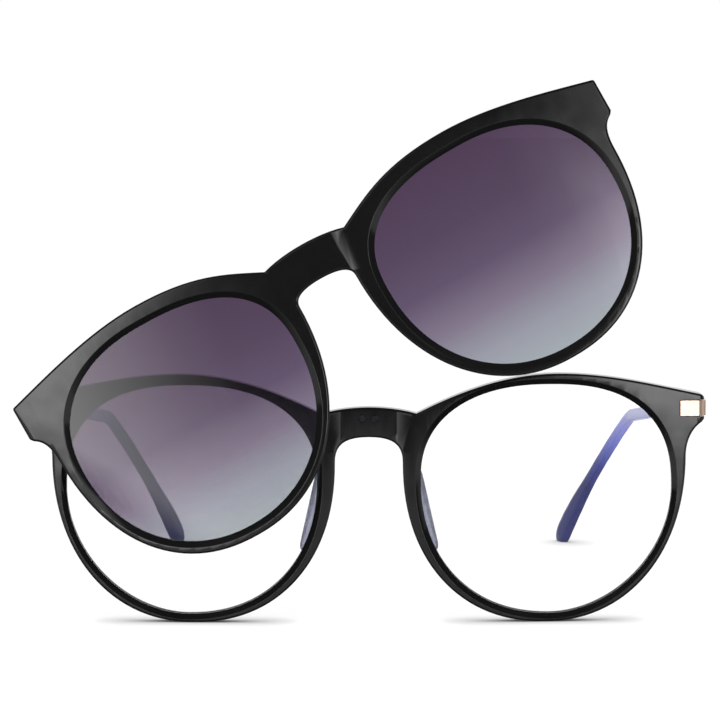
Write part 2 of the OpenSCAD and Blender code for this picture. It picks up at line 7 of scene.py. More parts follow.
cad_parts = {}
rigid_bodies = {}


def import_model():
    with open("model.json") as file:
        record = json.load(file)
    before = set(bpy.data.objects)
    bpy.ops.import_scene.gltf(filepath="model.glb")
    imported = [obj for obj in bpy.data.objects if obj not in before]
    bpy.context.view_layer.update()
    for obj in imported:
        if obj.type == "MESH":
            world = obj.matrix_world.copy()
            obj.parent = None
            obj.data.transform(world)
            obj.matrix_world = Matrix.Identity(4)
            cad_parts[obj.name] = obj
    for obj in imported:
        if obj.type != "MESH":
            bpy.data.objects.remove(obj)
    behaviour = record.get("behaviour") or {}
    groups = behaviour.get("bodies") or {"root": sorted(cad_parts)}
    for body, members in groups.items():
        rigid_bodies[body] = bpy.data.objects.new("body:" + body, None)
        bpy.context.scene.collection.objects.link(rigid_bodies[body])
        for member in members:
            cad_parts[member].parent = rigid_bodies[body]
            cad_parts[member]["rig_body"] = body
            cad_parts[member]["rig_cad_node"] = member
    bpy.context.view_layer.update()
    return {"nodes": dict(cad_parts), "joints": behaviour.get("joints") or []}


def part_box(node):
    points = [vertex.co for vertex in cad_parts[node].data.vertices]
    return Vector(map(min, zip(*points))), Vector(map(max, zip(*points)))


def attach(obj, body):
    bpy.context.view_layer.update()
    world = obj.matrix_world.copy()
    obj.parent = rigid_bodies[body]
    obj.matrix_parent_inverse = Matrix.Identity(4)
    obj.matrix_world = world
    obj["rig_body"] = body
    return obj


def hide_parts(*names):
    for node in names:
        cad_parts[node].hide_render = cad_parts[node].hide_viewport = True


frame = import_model()
cadNodes = frame["nodes"]
joints = {joint["name"]: joint for joint in frame["joints"]}
sides = {"left": -1, "right": 1}
print("frame loaded")

# Pieces are worked in millimetres, in the glasses' own place: x = 0 is their middle, y = 0 is the
# front's face at the bridge and z = 0 is the table. placeOf takes them into the frame, in metres
mm = 0.001
frontLow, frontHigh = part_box("front_frame")
ownOrigin = Vector(((frontLow.x + frontHigh.x) / 2, frontLow.y, 0))
placeOf = Matrix.Translation(ownOrigin) @ Matrix.Scale(mm, 4)

# The clip-on is worked where it is worn, and its joint's own figures swing it up
swingJoint = joints["clip_swing"]
swingAt = Vector(swingJoint["pos_m"])
swingAxis = Vector(swingJoint["axis"])
swingAngle = radians(-swingJoint["range_deg"][0])
swingTurn = Matrix.Rotation(swingAngle, 4, swingAxis)
clipPlaceOf = Matrix.Translation(swingAt) @ swingTurn @ Matrix.Translation(-swingAt) @ placeOf

# In millimetres: corners within a hair of a place count as there, a cutter runs past what it cuts,
# and corners nearer than a merge become one
hair = 0.01
past = 1
merges = {"cut": 0.001, "seam": 0.00001, "node": 0.002}

# How a node's copy is cleaned and eased: faces that meet flatter than one angle become one, and
# edges sharper than the other are eased, in degrees
easing = {"flat": 1, "corner": 28, "steps": 3}


# Modelling helpers

def only(piece):
    bpy.ops.object.select_all(action="DESELECT")
    piece.select_set(True)
    bpy.context.view_layer.objects.active = piece


def openEdit(piece, kind="VERT"):
    only(piece)
    bpy.ops.object.mode_set(mode="EDIT")
    bpy.ops.mesh.select_mode(type=kind)
    bpy.ops.mesh.select_all(action="SELECT")


def closeEdit():
    bpy.ops.object.mode_set(mode="OBJECT")


# Opens a piece in edit mode with the edges or faces selected that a test of their corners picks
def pick(piece, kind, test):
    openEdit(piece, kind)
    bpy.ops.mesh.select_all(action="DESELECT")
    closeEdit()
    mesh = piece.data
    for element in mesh.edges if kind == "EDGE" else mesh.polygons:
        element.select = test([mesh.vertices[i].co for i in element.vertices])
    bpy.ops.object.mode_set(mode="EDIT")


def useModifier(piece, kind, **settings):
    only(piece)
    modifier = piece.modifiers.new(kind, kind)
    for setting, value in settings.items():
        setattr(modifier, setting, value)
    bpy.ops.object.modifier_apply(modifier=modifier.name)


# Joins or cuts a piece with another, which is used up
def combine(piece, other, operation):
    useModifier(piece, "BOOLEAN", object=other, operation=operation, solver="EXACT")
    bpy.data.objects.remove(other)
    # Slivers that the cut leaves are closed up
    openEdit(piece)
    bpy.ops.mesh.remove_doubles(threshold=merges["cut"])
    closeEdit()


# A closed solid whose skin is a grid rolled through rings of points
def rolled(name, rings):
    around = len(rings[0])
    bpy.ops.mesh.primitive_grid_add(x_subdivisions=around, y_subdivisions=len(rings) - 1)
    piece = bpy.context.object
    piece.name = name
    for i, vertex in enumerate(piece.data.vertices):
        row, column = divmod(i, around + 1)
        vertex.co = rings[row][column % around]
    openEdit(piece)
    bpy.ops.mesh.remove_doubles(threshold=merges["seam"])
    bpy.ops.mesh.fill_holes(sides=0)
    bpy.ops.mesh.select_all(action="SELECT")
    bpy.ops.mesh.normals_make_consistent(inside=False)
    closeEdit()
    return piece


# A solid pushed from a flat outline, whose points are already in space, by a vector
def pushed(name, points, push):
    bpy.ops.mesh.primitive_circle_add(vertices=len(points), fill_type="NOTHING")
    piece = bpy.context.object
    piece.name = name
    for vertex, spot in zip(piece.data.vertices, points):
        vertex.co = spot
    openEdit(piece)
    bpy.ops.mesh.edge_face_add()
    bpy.ops.mesh.extrude_region_move(TRANSFORM_OT_translate={"value": push})
    bpy.ops.mesh.select_all(action="SELECT")
    bpy.ops.mesh.normals_make_consistent(inside=False)
    closeEdit()
    return piece


def bevelEdges(piece, test, width, steps):
    pick(piece, "EDGE", test)
    bpy.ops.mesh.bevel(offset=width, segments=steps, affect="EDGES", clamp_overlap=False)
    closeEdit()


# Cuts what is selected along a plane and keeps both sides
def bisectAt(spot, normal):
    bpy.ops.mesh.bisect(plane_co=spot, plane_no=normal)


def smooth(piece, angle=34):
    only(piece)
    bpy.ops.object.shade_smooth_by_angle(angle=radians(angle))
    useModifier(piece, "WEIGHTED_NORMAL", keep_sharp=True)


# Puts a finished piece in its place on its body, instead of its node
def settle(piece, node, body, material, place=None):
    if place:
        piece.data.transform(place)
    piece.data.materials.clear()
    piece.data.materials.append(material)
    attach(piece, body)
    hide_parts(node)


# A node's own shape as a new piece, open in edit mode, with its loose triangles joined
def openCopy(node, name):
    only(cadNodes[node])
    bpy.ops.object.duplicate()
    piece = bpy.context.object
    piece.parent = None
    piece.name = name
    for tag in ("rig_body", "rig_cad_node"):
        del piece[tag]
    openEdit(piece)
    bpy.ops.mesh.remove_doubles(threshold=merges["node"] * mm)
    return piece


# A copy of a node with eased edges
def easedCopy(node, width):
    piece = openCopy(node, node + "_eased")
    flat, corner = radians(easing["flat"]), radians(easing["corner"])
    bpy.ops.mesh.dissolve_limited(angle_limit=flat, use_dissolve_boundaries=False)
    closeEdit()
    useModifier(
        piece, "BEVEL", width=width * mm, segments=easing["steps"], limit_method="ANGLE",
        angle_limit=corner, use_clamp_overlap=True
    )
    smooth(piece)
    return piece


# Materials

def linear(hexColour):
    channels = [int(hexColour[i:i + 2], 16) / 255 for i in (1, 3, 5)]
    return [c / 12.92 if c <= 0.04045 else ((c + 0.055) / 1.055) ** 2.4 for c in channels] + [1]


# Adds a node: inputs are constants or the sockets that feed them, and the rest are its settings
def addNode(tree, kind, inputs, **settings):
    node = tree.nodes.new(kind)
    for setting, value in settings.items():
        setattr(node, setting, value)
    for name, value in inputs.items():
        if isinstance(value, bpy.types.NodeSocket):
            tree.links.new(value, node.inputs[name])
        else:
            node.inputs[name].default_value = value
    return node


def newMaterial(name, inputs):
    material = bpy.data.materials.new(name)
    material.use_nodes = True
    tree = material.node_tree
    shader = tree.nodes["Principled BSDF"]
    for socket, value in inputs.items():
        shader.inputs[socket].default_value = value
    return tree, shader, material


# Stops are (place, hex colour) or (place, grey level)
def colourRamp(tree, factor, stops):
    ramp = addNode(tree, "ShaderNodeValToRGB", {"Fac": factor})
    elements = ramp.color_ramp.elements
    elements[1].position = stops[-1][0]
    elements[0].position = stops[0][0]
    for stop in stops[1:-1]:
        elements.new(stop[0])
    for element, (place, colour) in zip(elements, stops):
        element.color = linear(colour) if isinstance(colour, str) else [colour] * 3 + [1]
    return ramp.outputs["Color"]


# Feeds one of a shader's sockets from a ramp
def rampInto(tree, shader, socket, factor, stops):
    tree.links.new(colourRamp(tree, factor, stops), shader.inputs[socket])


# Noise whose lumps are a size across, in millimetres, with finer layers by its detail. Stretch
# draws it that many times finer along each axis
def noiseField(tree, size, detail, stretch=(1, 1, 1)):
    where = addNode(tree, "ShaderNodeTexCoord", {}).outputs["Object"]
    mapping = addNode(tree, "ShaderNodeMapping", {"Vector": where, "Scale": stretch})
    noise = addNode(tree, "ShaderNodeTexNoise", {
        "Vector": mapping.outputs["Vector"], "Scale": 1 / (size * mm), "Detail": detail
    })
    return noise.outputs["Fac"]


# Depth is in millimetres
def addBump(tree, shader, height, depth):
    inputs = {"Height": height, "Distance": depth * mm, "Strength": 1}
    bump = addNode(tree, "ShaderNodeBump", inputs)
    tree.links.new(bump.outputs["Normal"], shader.inputs["Normal"])


# How far along a line of the frame a spot lies, from 0 at its start to 1 at its end
def alongLine(tree, start, end):
    where = addNode(tree, "ShaderNodeTexCoord", {}).outputs["Object"]
    line = end - start
    fromStart = addNode(tree, "ShaderNodeVectorMath", {0: where, 1: start}, operation="SUBTRACT")
    share = addNode(
        tree, "ShaderNodeVectorMath", {0: fromStart.outputs[0], 1: line / line.length_squared},
        operation="DOT_PRODUCT"
    )
    return share.outputs["Value"]


# Injection moulded nylon, tumbled and polished: near black and glossy. The polish leaves a slight
# waviness, a few millimetres from crest to crest, that bends what it mirrors
def polishedNylon(name, colour):
    tree, shader, material = newMaterial(name, {"Base Color": linear(colour), "IOR": 1.53})
    haze = noiseField(tree, 5, 3)
    rampInto(tree, shader, "Roughness", haze, [(0.35, 0.07), (0.7, 0.11)])
    addBump(tree, shader, noiseField(tree, 7, 1), 0.02)
    return material


# Clear resin with an anti-glare coat: what little it mirrors is faintly blue
def coatedResin():
    tree, shader, material = newMaterial("coatedResin", {
        "Base Color": linear("#ffffff"), "IOR": 1.5, "Roughness": 0.0, "Transmission Weight": 1,
        "Specular IOR Level": 0.3, "Specular Tint": linear("#c9d2ff")
    })
    # The coat gathers a breath of dust, too thin to see but in a glancing light
    dust = noiseField(tree, 3, 2)
    rampInto(tree, shader, "Roughness", dust, [(0.4, 0.0), (0.8, 0.004)])
    return material


# Colours of the dye down the lens, from its top edge (0) to its bottom edge (1)
dyeStops = [
    (0.0, "#4f3d54"), (0.3, "#57475e"), (0.5, "#62546c"), (0.68, "#81768a"), (0.85, "#999ba7"),
    (1.0, "#a4abb1")
]


# Tinted resin: the dye is deepest along the top and fades out towards the bottom
def dyedResin(top, bottom):
    tree, shader, material = newMaterial("dyedResin", {
        "IOR": 1.5, "Roughness": 0.0, "Transmission Weight": 1
    })
    rampInto(tree, shader, "Base Color", alongLine(tree, top, bottom), dyeStops)
    return material


# Moulded silicone-like plastic: cloudy, blue-grey, light passes through its edge
def cloudyPlastic():
    tree, shader, material = newMaterial("cloudyPlastic", {
        "IOR": 1.46, "Roughness": 0.22, "Transmission Weight": 0.75
    })
    cloud = noiseField(tree, 2.5, 2)
    rampInto(tree, shader, "Base Color", cloud, [(0.3, "#9597ad"), (0.7, "#b6b8c9")])
    return material


# Rose-gold plating on buffed steel: a soft metal gloss, with faint lines from the buffing wheel.
# The real lines are finer, and these are drawn as coarse as they need to show
def roseGold():
    tree, shader, material = newMaterial("roseGold", {"Metallic": 1})
    buffing = noiseField(tree, 0.9, 2, (1, 1, 9))
    tone = noiseField(tree, 4, 2)
    rampInto(tree, shader, "Base Color", tone, [(0.3, "#efcdb6"), (0.7, "#f4d8c4")])
    rampInto(tree, shader, "Roughness", buffing, [(0.3, 0.18), (0.7, 0.3)])
    addBump(tree, shader, buffing, 0.004)
    return material


# Colours of a sleeve, from where it begins to turn violet (0) to its end (1)
violetStops = [
    (0.0, "#9c9cca"), (0.1, "#8c8ce0"), (0.26, "#6a72cf"), (0.42, "#40459b"), (0.6, "#28296b"),
    (1.0, "#29296f")
]


# Acetate sleeve, tumbled and dipped in dye: satin, pale lavender that turns dark blue-violet.
# Where the turn begins is given for each sleeve, and on the left one it also paints shade
def violetAcetate(name, start, end):
    tree, shader, material = newMaterial(name, {
        "IOR": 1.49, "Roughness": 0.3, "Specular IOR Level": 0.2
    })
    rampInto(tree, shader, "Base Color", alongLine(tree, start, end), violetStops)
    addBump(tree, shader, noiseField(tree, 2, 2), 0.003)
    return material


# Turned steel: fine rings from the lathe are too small to show, so it has a soft brushed gloss
def turnedSteel():
    tree, shader, material = newMaterial("turnedSteel", {"Metallic": 1})
    brush = noiseField(tree, 0.4, 2, (1, 8, 1))
    rampInto(tree, shader, "Base Color", brush, [(0.3, "#b5b5ba"), (0.7, "#d0d0d4")])
    rampInto(tree, shader, "Roughness", brush, [(0.3, 0.2), (0.7, 0.34)])
    return material


# Plated magnets: bright nickel at the end pieces and in the clip-on's back, and black nickel in the
# optical front's bridge. Handling leaves the gloss a little uneven
def platedMagnet(name, low, high):
    tree, shader, material = newMaterial(name, {"Metallic": 1})
    wear = noiseField(tree, 0.5, 3)
    rampInto(tree, shader, "Base Color", wear, [(0.3, low), (0.7, high)])
    rampInto(tree, shader, "Roughness", wear, [(0.3, 0.25), (0.7, 0.45)])
    return material


# Outlines, flat: x across and z up, as 2D points

def point(x, z):
    return Vector((x, z))


# Evenly spaced turns from 0 to a last one in degrees, both included
def turnsTo(degrees, steps):
    return [radians(degrees * i / steps) for i in range(steps + 1)]


# A cubic curve without its last point
def bezier(a, b, c, d, steps):
    points = []
    for i in range(steps):
        t = i / steps
        u = 1 - t
        points.append(u ** 3 * a + 3 * u * u * t * b + 3 * u * t * t * c + t ** 3 * d)
    return points


# A quarter of a rounded outline, from a flat point to an upright one or back, without its last
# point
def bow(a, b, roundness, fromFlat, steps):
    points = []
    for i in range(steps):
        turn = pi / 2 * i / steps
        near = cos(turn) ** (2 / roundness)
        far = sin(turn) ** (2 / roundness)
        if fromFlat:
            points.append(point(a.x + (b.x - a.x) * far, b.y + (a.y - b.y) * near))
        else:
            points.append(point(b.x + (a.x - b.x) * near, a.y + (b.y - a.y) * far))
    return points


# A lens opening of the right side, grown all round
def openingOutline(lens, grow=0):
    top = point(lens["peak"], lens["top"] + grow)
    outer = point(lens["outer"] + grow, lens["outerHeight"])
    low = point(lens["peak"], lens["low"] - grow)
    inner = point(lens["inner"] - grow, lens["innerHeight"])
    upOut, lowOut, lowIn, upIn = lens["roundness"]
    steps = lens["steps"]
    return (
        bow(top, outer, upOut, True, steps) + bow(outer, low, lowOut, False, steps)
        + bow(low, inner, lowIn, True, steps) + bow(inner, top, upIn, False, steps)
    )


# What the outlines of both fronts share: how far their curves run on past their own ends, the
# upright edge and the corner's turn in degrees at an end piece, and how many points a curve has
outlineRuns = {
    "side": point(0.2, 3.8), "tipLow": point(1.9, 1), "tipEdge": point(0, 0.4), "cornerTurn": 78,
    "cornerSteps": 5, "shoulder": 9.5, "brow": point(11, 0), "notch": point(1, 0.5),
    "dip": point(-3, 0.9), "crown": point(3, 0), "shortSteps": 6, "steps": 10, "longSteps": 16
}


# Right half of a front's outline: under the bridge, down the nose side, round the rim and the end
# piece, and back over the top
def halfOutline(o):
    r = outlineRuns
    arch, nose, low, side, tipLow = o["arch"], o["nose"], o["low"], o["side"], o["tipLow"]
    peak, notch, crown = o["peak"], o["notch"], o["crown"]
    cornerAt = o["tipTop"] - point(o["corner"], o["corner"])
    turns = turnsTo(r["cornerTurn"], r["cornerSteps"])
    corner = [cornerAt + o["corner"] * point(cos(a), sin(a)) for a in turns]
    overArch, aboveNose = arch + point(o["archRun"], 0), nose + point(0, o["noseRun"])
    shoulder, besidePeak = corner[-1] + point(-r["shoulder"], o["lift"]), peak + r["brow"]
    pastPeak, aboveNotch = peak - point(o["peakRun"], 0), notch + o["notchRun"] * r["notch"]
    return (
        bezier(arch, overArch, aboveNose, nose, r["steps"])
        + bow(nose, low, o["lowIn"], False, o["steps"])
        + bow(low, side, o["lowOut"], True, o["steps"])
        + bezier(side, side + r["side"], tipLow - r["tipLow"], tipLow, r["steps"])
        + [tipLow + r["tipEdge"]] + corner[:-1]
        + bezier(corner[-1], shoulder, besidePeak, peak, r["longSteps"])
        + bezier(peak, pastPeak, aboveNotch, notch, r["longSteps"])
        + bezier(notch, notch + r["dip"], crown + r["crown"], crown, r["shortSteps"]) + [crown]
    )


def bothSides(half):
    return half + [point(-p.x, p.y) for p in half[-2:0:-1]]


# A closed outline, drawn in all round
def drawnIn(points, amount):
    inner = []
    for i, p in enumerate(points):
        way = (points[(i + 1) % len(points)] - points[i - 1]).normalized()
        inner.append(p + amount * point(-way.y, way.x))
    return inner


# The fronts are bent round the wearer's brow on this radius. wrapY is how far back a depth behind
# the face lies, at a place across
wrapRadius = 750


def wrapY(x, depth=0):
    return wrapRadius - sqrt((wrapRadius - depth) ** 2 - x * x)


# Bends a flat piece, whose y is its depth behind the front's face, after cutting it into strips
def wrapPiece(piece, strip):
    count = int(max(abs(vertex.co.x) for vertex in piece.data.vertices) / strip)
    openEdit(piece)
    for i in range(-count, count + 1):
        bpy.ops.mesh.select_all(action="SELECT")
        bisectAt((i * strip, 0, 0), (1, 0, 0))
    closeEdit()
    for vertex in piece.data.vertices:
        vertex.co.y = wrapY(vertex.co.x, vertex.co.y)


# Depth and growth of a lens opening through its rim: a lip that slopes in from the face, the
# lens's groove and a chamfer at the back
def openingProfile(o, lens):
    # The cutter's rings stay a hair off the plate's own faces
    face, back = o["face"] - hair, o["back"] + hair
    lip, lipDepth, ease, power = o["lip"], o["lipDepth"], o["backEase"], 2 / o["lipShape"]
    near, far = lens["face"] - o["clearance"], lens["back"] + o["clearance"]
    seat = lens["groove"] + o["clearance"]
    turns = turnsTo(90, 6)
    return (
        [(face - past, lip)]
        + [(face + lipDepth * (1 - cos(a) ** power), lip * (1 - sin(a) ** power)) for a in turns]
        + [(near, 0), (near, seat), (far, seat), (far, 0)]
        + [(back - ease * cos(a), ease * (1 - cos(a))) for a in turns[::2]] + [(back + past, ease)]
    )


# A front, still flat: its plate with eased edges, cut by its two lens openings
def makeFront(name, o, lens):
    outline = bothSides(halfOutline(o))
    piece = pushed(name, [(p.x, o["face"], p.y) for p in outline], (0, o["back"] - o["face"], 0))
    bevelEdges(piece, lambda c: max(v.y for v in c) < o["face"] + hair, o["frontEase"], steps=4)
    bevelEdges(piece, lambda c: min(v.y for v in c) > o["back"] - hair, o["backEase"], steps=3)
    for side in sides.values():
        rings = [
            [(side * p.x, depth, p.y) for p in openingOutline(lens, grow)]
            for depth, grow in openingProfile(o, lens)
        ]
        combine(piece, rolled("cutter", rings), "DIFFERENCE")
    return piece


# Where a slope of the bridge meets its rim, at a height
def ridgeAt(crease, z):
    slope = crease["top"] - crease["low"]
    return crease["top"].x + (z - crease["top"].y) * slope.x / slope.y


# Sinks the bridge's face a little between two slopes that rise to the rims
def sinkBridge(piece, o, crease):
    flat, reach, floor = crease["flat"], crease["reach"], crease["floor"]
    slope = crease["top"] - crease["low"]
    # Lines are first cut round the bridge, so that the lines of its slopes end there
    bounds = (((0, 0, floor), (0, 0, 1)), ((reach, 0, 0), (1, 0, 0)), ((-reach, 0, 0), (1, 0, 0)))
    openEdit(piece)
    for spot, normal in bounds:
        bpy.ops.mesh.select_all(action="SELECT")
        bisectAt(spot, normal)
    closeEdit()
    for side in sides.values():
        flatLine = ((side * flat, 0, 0), (1, 0, 0))
        ridgeLine = ((side * crease["top"].x, 0, crease["top"].y), (slope.y, 0, -side * slope.x))
        for spot, normal in (flatLine, ridgeLine):
            pick(piece, "FACE", lambda c: all(
                abs(v.x) < reach + hair and v.z > floor - hair for v in c
            ))
            bisectAt(spot, normal)
            closeEdit()
    for vertex in piece.data.vertices:
        at = vertex.co
        if at.y < o["face"] + o["frontEase"] + hair and at.z > floor:
            ridge = ridgeAt(crease, at.z)
            at.y += crease["depth"] * min(1, max(0, (ridge - abs(at.x)) / (ridge - flat)))
    # The ridges stay crisp when the front is smoothed
    pick(piece, "EDGE", lambda c: all(
        v.z > floor and abs(ridgeAt(crease, v.z) - abs(v.x)) < hair / 2 and v.y < o["face"] + hair
        for v in c
    ))
    bpy.ops.mesh.mark_sharp()
    closeEdit()


# A lens, flat, with a fine eased edge that sits in the groove of its rim
def makeLens(name, lens, side):
    outline = [(side * p.x, lens["face"], p.y) for p in openingOutline(lens, lens["groove"])]
    piece = pushed(name, outline, (0, lens["back"] - lens["face"], 0))
    bevelEdges(piece, lambda c: abs(c[0].y - c[1].y) < hair, lens["ease"], steps=1)
    wrapPiece(piece, lens["strip"])
    smooth(piece)
    return piece


# A round hole square to the wrapped face, between two depths
def drill(piece, x, z, radius, nearDepth, farDepth):
    depth = (nearDepth + farDepth) / 2
    lean = asin(x / wrapRadius)
    centre = Vector((x, wrapY(x), z)) + depth * Vector((-sin(lean), cos(lean), 0))
    bpy.ops.mesh.primitive_cylinder_add(
        vertices=40, radius=radius, depth=farDepth - nearDepth, location=centre,
        rotation=(pi / 2, 0, lean)
    )
    cutter = bpy.context.object
    only(cutter)
    bpy.ops.object.transform_apply()
    combine(piece, cutter, "DIFFERENCE")


# Optical front. Depths are from its face at the bridge, and strip is how wide the strips are that
# it is cut into to be bent. The holes for magnets are (x, z, radius, depth of the bottom)

frontSizes = {
    "face": 0, "back": 4, "frontEase": 0.5, "backEase": 0.4, "clearance": 0.03, "strip": 3,
    "lip": 1.2, "lipDepth": 0.75, "lipShape": 1.1, "steps": 30,
    "arch": point(0, 39.2), "archRun": 5.3, "nose": point(7.1, 34), "noseRun": 3.4,
    "low": point(37, 0), "lowIn": 2.2, "lowOut": 2.15, "side": point(66.7, 35.3),
    "tipLow": point(70.6, 42.3), "tipTop": point(70.6, 47.9), "corner": 1.2, "lift": 2,
    "peak": point(39.5, 52.45), "peakRun": 12, "notch": point(10, 44.2), "notchRun": 7,
    "crown": point(0, 45.5)
}
frontLens = {
    "inner": 10.9, "outer": 63.7, "low": 1.8, "top": 50.2, "peak": 38, "innerHeight": 30.4,
    "outerHeight": 28, "roundness": (2.5, 1.9, 2.2, 2.3), "steps": 30, "groove": 0.7, "face": 1.1,
    "back": 2.9, "ease": 0.08, "strip": 2
}
frontCrease = {
    "flat": 5.4, "top": point(9.9, 44.2), "low": point(8, 38.2), "depth": 0.42, "reach": 13,
    "floor": 36
}
endBlock = {
    "tip": 70.6, "inner": 63.6, "low": 41.3, "height": 11, "rootDepth": 2, "slopeDepth": 3.9,
    "slopeRun": 2, "back": 8.218, "cornerRadius": 1.2, "ease": 0.4, "skin": 0.03
}
plateSlot = {
    "inner": 65.3, "between": (66.5, 67.8), "middle": 44.9, "height": 3.64, "floor": 1.33,
    "cornerRound": 0.4, "bendX": 69.0, "bendRadius": 0.77, "side": 69.77
}
bridgeMagnet = (1.375, 43.2, 0.83, 1.56)
blackNylon = polishedNylon("polishedNylonFront", "#101011")
front = makeFront("front_shell", frontSizes, frontLens)
sinkBridge(front, frontSizes, frontCrease)
wrapPiece(front, frontSizes["strip"])


# Hinge block behind an end piece, cut to the front's own outline
def addEndBlock(piece, side):
    b = endBlock
    cornerX = b["tip"] - b["cornerRadius"]
    cornerY = wrapY(cornerX) + b["cornerRadius"]
    rootY = wrapY(b["inner"])
    plan = [
        (b["inner"], rootY + b["rootDepth"]), (cornerX, cornerY), (b["tip"] + past, cornerY),
        (b["tip"] + past, b["back"]), (b["inner"] + b["slopeRun"], b["back"]),
        (b["inner"], rootY + b["slopeDepth"])
    ]
    block = pushed("block", [(side * x, y, b["low"]) for x, y in plan], (0, 0, b["height"]))
    # Just inside the front's own skin, so that the two don't lie in one plane
    outline = drawnIn(bothSides(halfOutline(frontSizes)), b["skin"])
    mould = pushed("mould", [(p.x, -past, p.y) for p in outline], (0, b["back"] + 2 * past, 0))
    combine(block, mould, "INTERSECT")
    bevelEdges(block, lambda c: min(v.y for v in c) > b["back"] - hair, b["ease"], steps=3)
    combine(piece, block, "UNION")


# Rounds the front corner of an end piece, as seen from above
def roundCorner(piece, side):
    b = endBlock
    radius = b["cornerRadius"]
    cornerX = b["tip"] - radius
    cornerY = wrapY(cornerX) + radius
    arc = [(cornerX + radius * cos(a), cornerY - radius * sin(a)) for a in turnsTo(90, 10)]
    plan = [(b["tip"] + past, cornerY)] + arc + [(cornerX, -past), (b["tip"] + past, -past)]
    low = b["low"] - past
    height = b["height"] + 2 * past
    cutter = pushed("cutter", [(side * x, y, low) for x, y in plan], (0, 0, height))
    combine(piece, cutter, "DIFFERENCE")


# Slot that the end plate lies in: along the face, round the corner and back along the side
def cutSlot(piece, side):
    s = plateSlot
    radius, bendX = s["bendRadius"], s["bendX"]
    bendY = wrapY(bendX) + s["floor"] + radius
    out, back = endBlock["tip"] + past, endBlock["back"] + past
    plan = [(s["inner"], -past)]
    plan += [(x, wrapY(x) + s["floor"]) for x in (s["inner"], *s["between"])]
    plan += [(bendX + radius * sin(a), bendY - radius * cos(a)) for a in turnsTo(90, 6)]
    plan += [(s["side"], back), (out, back), (out, -past)]
    low = s["middle"] - s["height"] / 2
    cutter = pushed("cutter", [(side * x, y, low) for x, y in plan], (0, 0, s["height"]))
    # Its two level edges at the inner end, so that the slot's corners are round there
    bevelEdges(
        cutter, lambda c: abs(c[0].z - c[1].z) < hair and all(abs(v.x) < s["inner"] + hair for v in c),
        s["cornerRound"], steps=4
    )
    combine(piece, cutter, "DIFFERENCE")


for side in sides.values():
    addEndBlock(front, side)
    roundCorner(front, side)
    cutSlot(front, side)
    x, z, radius, depth = bridgeMagnet
    drill(front, side * x, z, radius, -past, depth)
smooth(front)
settle(front, "front_frame", "front", blackNylon, placeOf)
print("optical front made")

clearResin = coatedResin()
for name, side in sides.items():
    lens = makeLens("clear_lens_" + name, frontLens, side)
    settle(lens, "lens_" + name, "front", clearResin, placeOf)
print("clear lenses made")

# Clip-on front, in the optical front's own depths

clipSizes = {
    "face": -2.85, "back": -0.45, "frontEase": 0.5, "backEase": 0.3, "clearance": 0.03, "strip": 3,
    "lip": 1.35, "lipDepth": 0.62, "lipShape": 1.08, "steps": 30,
    "arch": point(0, 40.7), "archRun": 4.2, "nose": point(6.7, 37.8), "noseRun": 2,
    "low": point(37.7, 0.5), "lowIn": 2.12, "lowOut": 2.25, "side": point(66.7, 35),
    "tipLow": point(69.9, 41), "tipTop": point(69.9, 48.9), "corner": 0.56, "lift": 2.5,
    "peak": point(37, 54.9), "peakRun": 14, "notch": point(9.5, 47.7), "notchRun": 7.5,
    "crown": point(0, 48.9)
}
clipLens = {
    "inner": 11.1, "outer": 63.5, "low": 3, "top": 50.7, "peak": 38, "innerHeight": 31.6,
    "outerHeight": 29.2, "roundness": (2.25, 2.1, 2.1, 2.5), "steps": 30, "groove": 0.5,
    "face": -2.15, "back": -1.15, "ease": 0.08, "strip": 2
}
clipCrease = {
    "flat": 6.6, "top": point(9.2, 47.5), "low": point(7.8, 40), "depth": 0.27, "reach": 13,
    "floor": 38.5
}
clipMagnets = {"bridge": (1.375, 43.2, 0.83, -1.95), "end": (65.5, 37.8, 0.93, -2.15)}
blackClip = polishedNylon("polishedNylonClip", "#121213")
clip = makeFront("clip_shell", clipSizes, clipLens)
sinkBridge(clip, clipSizes, clipCrease)
wrapPiece(clip, clipSizes["strip"])
for side in sides.values():
    for x, z, radius, depth in clipMagnets.values():
        drill(clip, side * x, z, radius, depth, past)
smooth(clip)
settle(clip, "clip_frame", "clip_on", blackClip, clipPlaceOf)
print("clip-on front made")

dyeTop = clipPlaceOf @ Vector((clipLens["peak"], 0, clipLens["top"]))
dyeBottom = clipPlaceOf @ Vector((clipLens["peak"], 0, clipLens["low"]))
tintedResin = dyedResin(dyeTop, dyeBottom)
for name, side in sides.items():
    lens = makeLens("tinted_lens_" + name, clipLens, side)
    settle(lens, "clip_lens_" + name, "clip_on", tintedResin, clipPlaceOf)
print("tinted lenses made")

# Temple tips. The line is the right temple's, from its hinge: lengths in millimetres, and angles in
# degrees, leaning in from straight back and sloping down from level

templeLine = {
    "start": Vector((70.4, 14.118, 44.9)), "toBend": 87, "lean": 7.5, "slope": 8, "bare": 51,
    "tipLean": 26.5, "tipSlope": 52, "hook": 70, "foot": -0.8, "bendRun": 13, "bendEase": 7,
    "hookRun": 7.5
}
# straightShare is the part of the sleeve's growth that falls on its straight stretch, and blunt
# keeps its end from running out to a point
tipSizes = {
    "thickness": 2.2, "height": 2.9, "fullThickness": 2.8, "fullHeight": 4.8, "square": 2.5,
    "swellFrom": 0.55, "swellTo": 0.85, "roundFrom": 0.88, "blunt": 0.1, "straightRings": 8,
    "straightShare": 4 / 30, "bentRings": 60, "around": 32, "smoothAngle": 50
}
# Where the sleeves turn violet: how far before the bend each begins to, how far outward and up
# that is from the bend, and where both end, as (x, y) on the table. The two sleeves are alike, and
# the left one begins sooner only as painted shade, for the shade of the tinted lens before it
violetFadeAndShade = {"left": 42, "right": 12, "out": 1, "up": 2, "end": (46.5, 125.6)}


def heading(lean, slope):
    return Vector((-tan(radians(lean)), 1, -tan(radians(slope)))).normalized()


